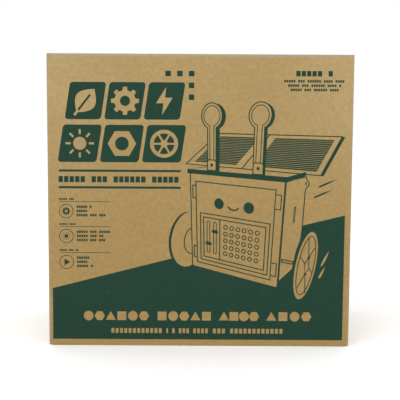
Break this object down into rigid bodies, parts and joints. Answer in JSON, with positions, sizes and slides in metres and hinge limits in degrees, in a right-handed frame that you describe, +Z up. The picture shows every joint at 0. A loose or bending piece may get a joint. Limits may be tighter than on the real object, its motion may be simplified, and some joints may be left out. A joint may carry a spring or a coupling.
{
  "type": "boxed solar robot kit",
  "caption": "Kraft carton with a printed lid that swings up, holding a plywood wheeled robot with a tilting solar array, geared axle, sliders and antennas, and a booklet.",
  "frame": {"origin": "middle of the carton's base, under the centre of its bounding box", "axes": "+Z up, -Y towards the printed lid, +X to the right of the lid as it is read"},
  "size_m": [0.22, 0.128, 0.213],
  "materials": {
    "kraft_board": "uncoated brown kraft",
    "booklet_paper": "uncoated recycled paper",
    "plywood": "laser-cut birch plywood",
    "steel": "zinc-plated steel",
    "white_nylon": "moulded nylon",
    "black_plastic": "moulded plastic",
    "solar_cells": "clear resin over solar cells",
    "green_paint": "dark green plastic"
  },
  "bodies": {
    "carton": {"carton_back_panel": "kraft_board", "carton_top_wall": "kraft_board", "carton_bottom_wall": "kraft_board", "carton_left_outer_wall": "kraft_board", "carton_right_outer_wall": "kraft_board", "carton_left_inner_wall": "kraft_board", "carton_right_inner_wall": "kraft_board", "insert_pad": "kraft_board", "insert_divider": "kraft_board", "booklet_back_cover": "booklet_paper", "booklet_pages": "booklet_paper"},
    "lid": {"lid_panel": "kraft_board"},
    "tuck_flap": {"lid_tuck_flap": "kraft_board"},
    "ear_left": {"lid_ear_left": "kraft_board"},
    "ear_right": {"lid_ear_right": "kraft_board"},
    "booklet_cover": {"booklet_front_cover": "booklet_paper"},
    "robot": {"front_panel": "plywood", "side_panel_left": "plywood", "side_panel_right": "plywood", "back_panel": "plywood", "floor_panel": "plywood", "top_panel": "plywood", "rear_skid": "plywood", "face_panel": "plywood", "control_bezel": "plywood", "control_panel": "plywood", "antenna_bracket_left": "plywood", "antenna_bracket_right": "plywood", "antenna_bolt_left": "steel", "antenna_bolt_right": "steel", "tilt_bolt_left": "steel", "tilt_bolt_right": "steel", "axle_bush_left": "white_nylon", "axle_bush_right": "white_nylon", "gear_plate": "plywood", "idler_shaft": "steel", "motor_can": "steel", "motor_end_cap": "black_plastic", "switch_body": "black_plastic"},
    "drive_axle": {"axle": "steel", "wheel_left": "plywood", "wheel_right": "plywood", "hub_disc_left": "white_nylon", "hub_disc_right": "white_nylon", "axle_gear": "white_nylon"},
    "idler": {"idler_gear": "white_nylon"},
    "motor_rotor": {"motor_pinion": "white_nylon"},
    "antenna_arm_left": {"antenna_left": "plywood"},
    "antenna_arm_right": {"antenna_right": "plywood"},
    "solar_array": {"solar_board": "plywood", "solar_module_left": "solar_cells", "solar_module_right": "solar_cells", "solar_arm_left": "plywood", "solar_arm_right": "plywood"},
    "slider_left": {"slider_knob_left": "green_paint"},
    "slider_right": {"slider_knob_right": "green_paint"},
    "power_switch": {"switch_knob": "black_plastic"}
  },
  "joints": [
    {"name": "lid_hinge", "type": "hinge", "parent": "carton", "child": "lid", "pos_m": [0, -0.0624, 0.213], "axis": [-1, 0, 0], "range_deg": [0, 180]},
    {"name": "tuck_crease", "type": "hinge", "parent": "lid", "child": "tuck_flap", "pos_m": [0, -0.0624, 0.0036], "axis": [1, 0, 0], "range_deg": [0, 15]},
    {"name": "ear_crease_left", "type": "hinge", "parent": "lid", "child": "ear_left", "pos_m": [-0.1042, -0.0624, 0.1025], "axis": [0, 0, -1], "range_deg": [0, 12]},
    {"name": "ear_crease_right", "type": "hinge", "parent": "lid", "child": "ear_right", "pos_m": [0.1042, -0.0624, 0.1025], "axis": [0, 0, 1], "range_deg": [0, 12]},
    {"name": "booklet_hinge", "type": "hinge", "parent": "carton", "child": "booklet_cover", "pos_m": [-0.099, 0.0585, 0.0769], "axis": [0, 0, -1], "range_deg": [0, 85]},
    {"name": "robot_slide", "type": "slide", "parent": "carton", "child": "robot", "axis": [0, -1, 0], "range_m": [0, 0.12]},
    {"name": "axle_spin", "type": "hinge", "parent": "robot", "child": "drive_axle", "pos_m": [0.02, -0.0285, 0.0333], "axis": [1, 0, 0], "continuous": true},
    {"name": "idler_spin", "type": "hinge", "parent": "robot", "child": "idler", "pos_m": [0.02, -0.01718, 0.04037], "axis": [1, 0, 0], "continuous": true},
    {"name": "motor_spin", "type": "hinge", "parent": "robot", "child": "motor_rotor", "pos_m": [0.02, -0.0086, 0.0506], "axis": [1, 0, 0], "continuous": true},
    {"name": "antenna_left_pivot", "type": "hinge", "parent": "robot", "child": "antenna_arm_left", "pos_m": [-0.002, -0.0357, 0.1168], "axis": [0, 1, 0], "range_deg": [-10, 10]},
    {"name": "antenna_right_pivot", "type": "hinge", "parent": "robot", "child": "antenna_arm_right", "pos_m": [0.042, -0.0357, 0.1168], "axis": [0, 1, 0], "range_deg": [-10, 10]},
    {"name": "solar_tilt", "type": "hinge", "parent": "robot", "child": "solar_array", "pos_m": [0.02, 0.0125, 0.1008], "axis": [1, 0, 0], "range_deg": [-15, 20]},
    {"name": "slider_left_travel", "type": "slide", "parent": "robot", "child": "slider_left", "axis": [0, 0, 1], "range_m": [-0.007, 0.02]},
    {"name": "slider_right_travel", "type": "slide", "parent": "robot", "child": "slider_right", "axis": [0, 0, 1], "range_m": [-0.02, 0.007]},
    {"name": "switch_travel", "type": "slide", "parent": "robot", "child": "power_switch", "axis": [0, 0, 1], "range_m": [0, 0.006]}
  ],
  "couplings": [
    {"joint": "robot_slide", "follows": "lid_hinge", "m_per_rad": 0.038},
    {"joint": "idler_spin", "follows": "axle_spin", "ratio": -2.6667},
    {"joint": "motor_spin", "follows": "axle_spin", "ratio": 7.1111}
  ]
}
